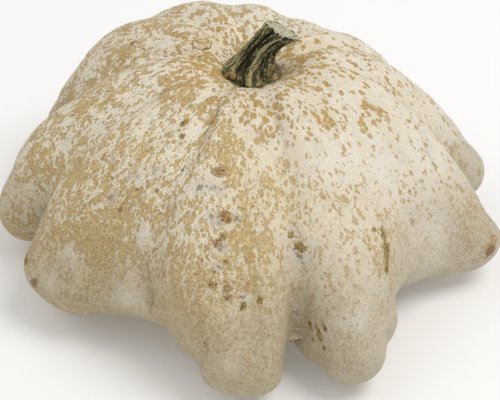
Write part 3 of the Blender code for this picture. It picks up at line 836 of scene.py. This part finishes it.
def rind_material():
    s = Shade("rind")
    flow, mm = s.field("flow", "Vector"), s.field("skin_mm", "Vector")
    tan, spotty, grain, low_shade_and_dull = s.field("tan"), s.field("spotty"), s.field("grain"), s.field("low_shade_and_dull")
    outer, warm, faint = s.field("outer"), s.field("warm"), s.field("faint")

    def chance(cell, channel):
        n = s.tree.nodes.new("ShaderNodeSeparateColor")
        s.put(n.inputs[0], cell.outputs["Color"])
        return n.outputs[channel]

    # ground: warm off-white on the light side, cream where the tan is dense
    cloud = s.noise(mm, 0.09, 3.0, 0.55)
    ground = s.mix(s.step(cloud, 0.35, 0.65), colour(236, 229, 220), colour(229, 219, 206))
    haze = s.noise(flow, 0.6, 4.0, 0.6, 0.4)
    cream = s.mix(s.step(haze, 0.35, 0.62), colour(233, 223, 200), colour(223, 206, 165))
    cream = s.mix(s.mul(grain, 0.55), cream, colour(228, 210, 170))
    ground = s.mix(s.math("MULTIPLY", warm, s.add(s.muladd(grain, 0.45, 0.75), s.mul(spotty, 0.55)), clamp=True), ground, cream)

    # ragged patches and cells of tan, drawn out down the rind
    bent = s.jitter(flow, 0.5, 0.8)
    streak = s.noise(bent, 0.80, 4.0, 0.60, 0.3)
    loose = s.jitter(s.jitter(flow, 0.45, 1.2), 1.6, 0.5)
    big, small = s.cells(loose, 0.60), s.cells(loose, 1.05)
    near = s.muladd(s.sub(chance(big, 0), 0.5), -0.42, big.outputs["Distance"])
    far = s.muladd(s.sub(chance(small, 1), 0.5), -0.42, small.outputs["Distance"])
    sprinkle = s.field("sprinkle")
    outer = s.mul(outer, s.muladd(sprinkle, -0.45, 1.0))
    apart = s.add(s.mul(near, s.sub(1.0, outer)), s.mul(far, outer))
    speck = s.noise(s.jitter(mm, 0.9, 0.5), 1.45, 4.0, 0.72)
    drift = s.sub(s.noise(flow, 0.26, 3.0, 0.55), 0.5)
    want = s.add(tan, s.mul(drift, s.sub(s.muladd(sprinkle, 0.5, 1.0), s.mul(grain, 0.4))))
    worm = s.noise(s.jitter(mm, 0.8, 0.7), 0.98, 2.0, 0.5)
    worm = s.step(s.math("ABSOLUTE", s.sub(worm, 0.5)), 0.025, 0.085, 1.0, 0.0)
    patch = s.noise(s.jitter(flow, 0.35, 1.2), 0.30, 4.0, 0.62, 0.3)
    over = s.mul(s.sub(streak, 0.5), s.sub(s.muladd(spotty, -0.9, 2.5), s.mul(grain, 1.1)))
    over = s.add(over, s.mul(s.sub(patch, 0.5), s.sub(s.muladd(spotty, -1.8, 2.3), s.mul(grain, 1.5))))
    over = s.add(over, s.mul(s.sub(0.46, apart), s.add(s.muladd(spotty, 1.2, 0.9), s.mul(sprinkle, 1.5))))
    over = s.add(over, s.mul(s.sub(speck, 0.5), s.muladd(grain, 0.1, 1.0)))
    over = s.add(over, s.mul(s.sub(want, 0.52), 1.5))
    cover = s.step(over, -0.07, 0.09)
    blur = s.step(over, -0.60, 0.60, 0.12, 0.88)
    cover = s.add(s.mul(cover, s.sub(1.0, faint)), s.mul(blur, faint))
    core = s.step(over, 0.25, 0.60)
    breakup = s.step(s.noise(mm, 2.1, 3.0, 0.65), 0.36, 0.58, 0.70, 1.0)
    cover = s.mul(cover, breakup)

    # the tan itself
    hue = s.noise(flow, 0.85, 4.0, 0.65)
    ochre = s.mix(s.step(hue, 0.36, 0.64), colour(209, 182, 129), colour(180, 148, 88))
    rosy = s.step(s.noise(flow, 0.75, 2.0, 0.5), 0.60, 0.72)
    ochre = s.mix(s.mul(rosy, 0.35), ochre, colour(196, 150, 100))
    ochre = s.mix(s.mul(core, 0.45), ochre, colour(174, 140, 76))
    ochre = s.mix(s.mul(spotty, 0.55), ochre, colour(190, 148, 68))
    ochre = s.mix(s.mul(grain, 0.50), ochre, colour(203, 178, 127))
    crisp = s.sub(1.0, s.mul(faint, 0.7))
    halo = s.mul(s.mul(s.step(over, -0.34, -0.06), s.sub(1.0, cover)), crisp)
    ground = s.mix(s.mul(halo, 0.50), ground, colour(244, 239, 228))
    rim = s.mul(s.step(over, 0.06, 0.32, 1.0, 0.0), crisp)
    ochre = s.mix(s.mul(rim, s.muladd(grain, -0.25, 0.50)), ochre, colour(152, 124, 72))
    skin_colour = s.mix(cover, ground, ochre)

    # pinprick dots in the pale gaps
    dots = s.cells(s.jitter(mm, 1.0, 0.3), 0.60)
    dot = s.step(s.sub(s.mul(s.step(chance(dots, 2), 0.35, 1.0), 0.20), dots.outputs["Distance"]), -0.05, 0.03)
    skin_colour = s.mix(s.mul(dot, 0.55), skin_colour, colour(160, 140, 92))

    # hairline creases down the crests
    thin = s.noise(s.vector("MULTIPLY", flow, (1.6, 1.6, 0.3)), 0.55, 2.0, 0.5, 0.3)
    hair = s.step(s.math("ABSOLUTE", s.sub(thin, 0.5)), 0.0, 0.010, 1.0, 0.0)
    hair = s.mul(hair, s.step(s.noise(flow, 0.25, 2.0), 0.5, 0.62))
    skin_colour = s.mix(s.mul(hair, 0.45), skin_colour, colour(158, 130, 84))

    # duller and greyer low down: painted shade on the underside and on the side away from the key, along with the
    # rind's duller grey there; greyer on the key's side
    skin_colour = s.mix(s.mul(low_shade_and_dull, 0.66), skin_colour, s.mix(s.field("light"), colour(160, 144, 111), colour(166, 156, 137)))

    # grit all over
    clean = s.mul(s.mul(s.field("light"), s.sub(1.0, cover)), s.muladd(faint, -0.8, 1.0))
    grit = s.muladd(s.sub(s.noise(mm, 2.2, 3.0, 0.75), 0.5), s.mul(s.muladd(tan, 1.3, 0.50), s.muladd(clean, -0.35, 1.0)), 1.0)
    mesh = s.mul(s.muladd(grain, 0.18, 0.18), s.mul(s.muladd(cover, 0.5, 0.5), s.muladd(clean, -0.80, 1.0)))
    grit = s.add(grit, s.mul(s.sub(worm, 0.36), mesh))
    skin_colour = s.mix(1.0, skin_colour, s.vector("SCALE", s.tint(1.0, 1.0, 0.97), scale=grit), "MULTIPLY")

    # creases and valleys darkened: painted shade, with the brown tint of the narrow creases
    crease_tint_and_shade = s.math("MULTIPLY", s.field("crease_tint_and_shade"), s.step(s.noise(mm, 1.2, 2.0), 0.35, 0.60, 0.6, 1.0), clamp=True)
    skin_colour = s.mix(crease_tint_and_shade, skin_colour, colour(138, 114, 66))

    # blemishes
    ragged = s.mul(s.sub(s.noise(mm, 1.3, 3.0, 0.6), 0.5), 1.1)
    bruise = s.step(s.add(s.field("bruise"), ragged), -0.25, 0.45)
    skin_colour = s.mix(s.mul(bruise, 0.70), skin_colour, colour(216, 208, 194))
    inner = s.step(s.add(s.field("bruise"), s.mul(s.sub(s.noise(mm, 0.9, 3.0, 0.6), 0.5), 3.2)), 0.45, 0.85)
    skin_colour = s.mix(s.mul(inner, 0.65), skin_colour, colour(130, 104, 66))
    olive = s.step(s.add(s.field("olive"), s.mul(ragged, 1.6)), -0.12, 0.22)
    skin_colour = s.mix(s.mul(olive, 0.92), skin_colour, s.mix(s.step(s.noise(mm, 1.1, 2.0), 0.38, 0.60), colour(108, 88, 34), colour(170, 146, 76)))
    orange = s.step(s.add(s.field("orange"), s.mul(ragged, 1.7)), 0.0, 0.55)
    skin_colour = s.mix(s.mul(orange, 0.70), skin_colour, s.mix(s.step(s.noise(mm, 1.5, 3.0, 0.65), 0.4, 0.6), colour(142, 100, 46), colour(204, 168, 108)))
    brown = s.step(s.add(s.field("brown"), s.mul(ragged, 1.1)), 0.05, 0.5)
    skin_colour = s.mix(s.mul(brown, 0.85), skin_colour, s.mix(s.noise(mm, 1.4, 2.0), colour(92, 66, 34), colour(168, 138, 92)))
    crust = s.step(s.field("crust"), 0.05, 0.35)
    crumb = s.noise(mm, 2.0, 4.0, 0.65)
    skin_colour = s.mix(s.mul(crust, 0.95), skin_colour,
                        s.mix(s.step(crumb, 0.40, 0.62), colour(124, 84, 36), colour(214, 184, 132)))
    button = s.step(s.field("button"), 0.0, 0.12)
    skin_colour = s.mix(s.mul(button, 0.80), skin_colour, s.mix(s.step(s.noise(mm, 1.3, 3.0, 0.6), 0.38, 0.62), colour(200, 172, 116), colour(230, 214, 176)))
    edge = s.step(s.field("rim"), 0.1, 0.7)
    skin_colour = s.mix(s.mul(edge, s.step(s.noise(mm, 0.9, 2.0), 0.36, 0.56, 0.45, 0.85)), skin_colour, colour(130, 98, 50))
    foot = s.step(s.add(s.field("foot"), s.mul(ragged, 0.30)), 0.35, 0.9)
    skin_colour = s.mix(s.mul(foot, 0.70), skin_colour, colour(110, 80, 42))
    scar = s.step(s.add(s.field("scar"), s.mul(ragged, 0.5)), 0.25, 0.75)
    skin_colour = s.mix(s.mul(scar, 0.85), skin_colour, s.mix(s.noise(mm, 1.2, 3.0), colour(112, 84, 48), colour(186, 160, 112)))
    s.put(s.bsdf.inputs["Base Color"], skin_colour)

    rough = s.muladd(cover, 0.08, 0.54)
    rough = s.add(rough, s.mul(s.sub(s.noise(mm, 0.5, 3.0), 0.5), 0.14))
    rough = s.add(rough, s.mul(s.top(crust, brown), 0.20))
    s.put(s.bsdf.inputs["Roughness"], rough)
    s.bsdf.inputs["Specular IOR Level"].default_value = 0.28
    s.bsdf.inputs["Subsurface Weight"].default_value = 0.06
    s.bsdf.inputs["Subsurface Radius"].default_value = (0.004, 0.0025, 0.0012)
    s.bsdf.inputs["Subsurface Scale"].default_value = 0.5

    pores = s.noise(mm, 2.4, 3.0, 0.65)
    lumps = s.noise(mm, 0.55, 3.0, 0.55)
    height = s.add(s.mul(pores, 0.60), s.mul(lumps, 1.0))
    height = s.sub(height, s.mul(hair, 0.30))
    height = s.add(height, s.mul(cover, 0.12))
    height = s.sub(height, s.mul(dot, 0.25))
    height = s.add(height, s.mul(crust, s.mul(crumb, 1.2)))
    s.put(s.bsdf.inputs["Normal"], s.bump(height, 0.00036, 0.9))
    return s.mat


def stem_material():
    s = Shade("dry_stem")
    flow, mm = s.field("flow", "Vector"), s.field("stem_mm", "Vector")
    along, rib, cutface = s.field("along"), s.field("rib"), s.field("cutface")
    fibre = s.noise(s.vector("MULTIPLY", flow, (1.0, 1.0, 0.35)), 2.9, 5.0, 0.72, 0.3)
    patch = s.noise(s.vector("MULTIPLY", flow, (1.0, 1.0, 0.9)), 0.45, 4.0, 0.62)
    fleck = s.noise(mm, 2.0, 4.0, 0.75)
    raised = s.add(rib, s.mul(s.sub(fibre, 0.5), 2.2))
    tone = s.mix(s.step(patch, 0.38, 0.62), colour(46, 46, 30), colour(84, 70, 42))
    # paler on the raised fibres and near black between them: painted highlight and painted shade across the ribs,
    # over the stem's own flecked dark colour
    tone = s.mix(s.mul(s.step(s.add(raised, s.mul(s.sub(fleck, 0.5), 1.8)), 0.54, 0.66), 0.92), tone, s.mix(s.step(fleck, 0.42, 0.58), colour(136, 122, 70), colour(208, 200, 150)))
    tone = s.mix(s.mul(s.step(raised, 0.14, 0.34, 1.0, 0.0), 0.86), tone, colour(18, 20, 13))
    # the foot: ochre toes, with green where it is still fresh
    low = s.step(s.add(along, s.mul(s.sub(patch, 0.5), 0.7)), 0.20, 0.50, 1.0, 0.0)
    toe = s.mix(s.step(s.noise(mm, 0.55, 3.0, 0.6), 0.42, 0.58), colour(222, 192, 126), colour(182, 140, 80))
    toe = s.mix(s.mul(s.step(s.noise(mm, 0.55, 3.0), 0.49, 0.57), 0.85), toe, colour(78, 122, 88))
    toe = s.mix(s.mul(s.step(fleck, 0.52, 0.62), 0.80), toe, colour(222, 210, 160))
    # the toes darker between their ribs: painted shade, over their own dark colour
    toe = s.mix(s.mul(s.step(raised, 0.22, 0.44, 1.0, 0.0), 0.80), toe, colour(44, 40, 24))
    tone = s.mix(s.mul(low, 0.90), tone, toe)
    tone = s.mix(s.mul(s.step(along, 0.01, 0.03, 1.0, 0.0), 0.7), tone, colour(74, 56, 32))
    # the cut end
    grit = s.noise(mm, 1.6, 4.0, 0.70)
    cut = s.mix(s.step(grit, 0.38, 0.52), colour(216, 204, 156), colour(255, 250, 222))
    cut = s.mix(s.mul(s.step(s.noise(mm, 1.3, 3.0, 0.65), 0.60, 0.66), 0.75), cut, colour(84, 78, 46))
    tone = s.mix(s.step(cutface, 0.25, 0.75), tone, cut)
    s.put(s.bsdf.inputs["Base Color"], tone)
    s.put(s.bsdf.inputs["Roughness"], s.muladd(fibre, 0.3, 0.50))
    s.bsdf.inputs["Specular IOR Level"].default_value = 0.35
    height = s.add(s.mul(fibre, 1.0), s.mul(s.noise(mm, 1.8, 4.0, 0.65), 0.8))
    s.put(s.bsdf.inputs["Normal"], s.bump(height, 0.0007, 1.0))
    return s.mat


def floor_material():
    s = Shade("pale_floor")
    where = s.tree.nodes.new("ShaderNodeTexCoord").outputs["Object"]
    s.put(s.bsdf.inputs["Base Color"], s.mix(s.noise(where, 3.0, 3.0), colour(246, 246, 246), colour(243, 243, 242)))
    s.bsdf.inputs["Roughness"].default_value = 0.9
    s.bsdf.inputs["Specular IOR Level"].default_value = 0.1
    s.bsdf.inputs["Emission Color"].default_value = (1.0, 1.0, 1.0, 1.0)
    s.bsdf.inputs["Emission Strength"].default_value = 0.10
    return s.mat


# ------------------------------------------------------------------ build it all
shift = frame_shift()
print("shift", shift)
fruit = make_fruit(shift)
fruit.data.materials.append(rind_material())
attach(fruit, "root")
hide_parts("squash_fruit")

stem = make_stem(shift)
stem.data.materials.append(stem_material())
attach(stem, "root")
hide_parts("stem")

bpy.ops.mesh.primitive_plane_add(size=6.0, location=(0, 0, -0.0002))
floor = bpy.context.object
floor.name = "floor"
floor.data.materials.append(floor_material())

# ------------------------------------------------------------- camera and light
elevation = math.radians(40)
target = Vector((shift[0] * MM, shift[1] * MM, 0.020))
eye = target + Vector((0, -math.cos(elevation), math.sin(elevation))) * 0.650
cam_data = bpy.data.cameras.new("camera")
cam_data.lens, cam_data.sensor_width = 154.0, 36.0
cam_data.clip_start, cam_data.clip_end = 0.05, 20.0
camera = link(bpy.data.objects.new("camera", cam_data))
camera.location = eye
camera.rotation_euler = (target - eye).to_track_quat("-Z", "Y").to_euler()
bpy.context.scene.camera = camera


def soft_light(name, place, size, power, tint=(1, 1, 1)):
    data = bpy.data.lights.new(name, "AREA")
    data.shape, data.size, data.energy, data.color = "DISK", size, power, tint
    ob = link(bpy.data.objects.new(name, data))
    ob.location = place
    ob.rotation_euler = (Vector((0, 0, 0.03)) - Vector(place)).to_track_quat("-Z", "Y").to_euler()
    return ob


soft_light("key", (0.54, -0.13, 1.10), 0.7, 6.65, (1.0, 0.985, 0.965))
soft_light("fill", (-0.70, 0.02, 0.95), 1.0, 1.6)
world = bpy.data.worlds.new("studio")
world.use_nodes = True
world.node_tree.nodes["Background"].inputs["Color"].default_value = (1.0, 1.0, 1.0, 1.0)
world.node_tree.nodes["Background"].inputs["Strength"].default_value = 0.52
bpy.context.scene.world = world
bpy.context.scene.view_settings.view_transform = "Standard"
bpy.context.scene.view_settings.look = "None"
bpy.context.scene.view_settings.exposure = 0.0

print("triangles", {o.name: sum(len(q.vertices) - 2 for q in o.data.polygons) for o in (fruit, stem)})
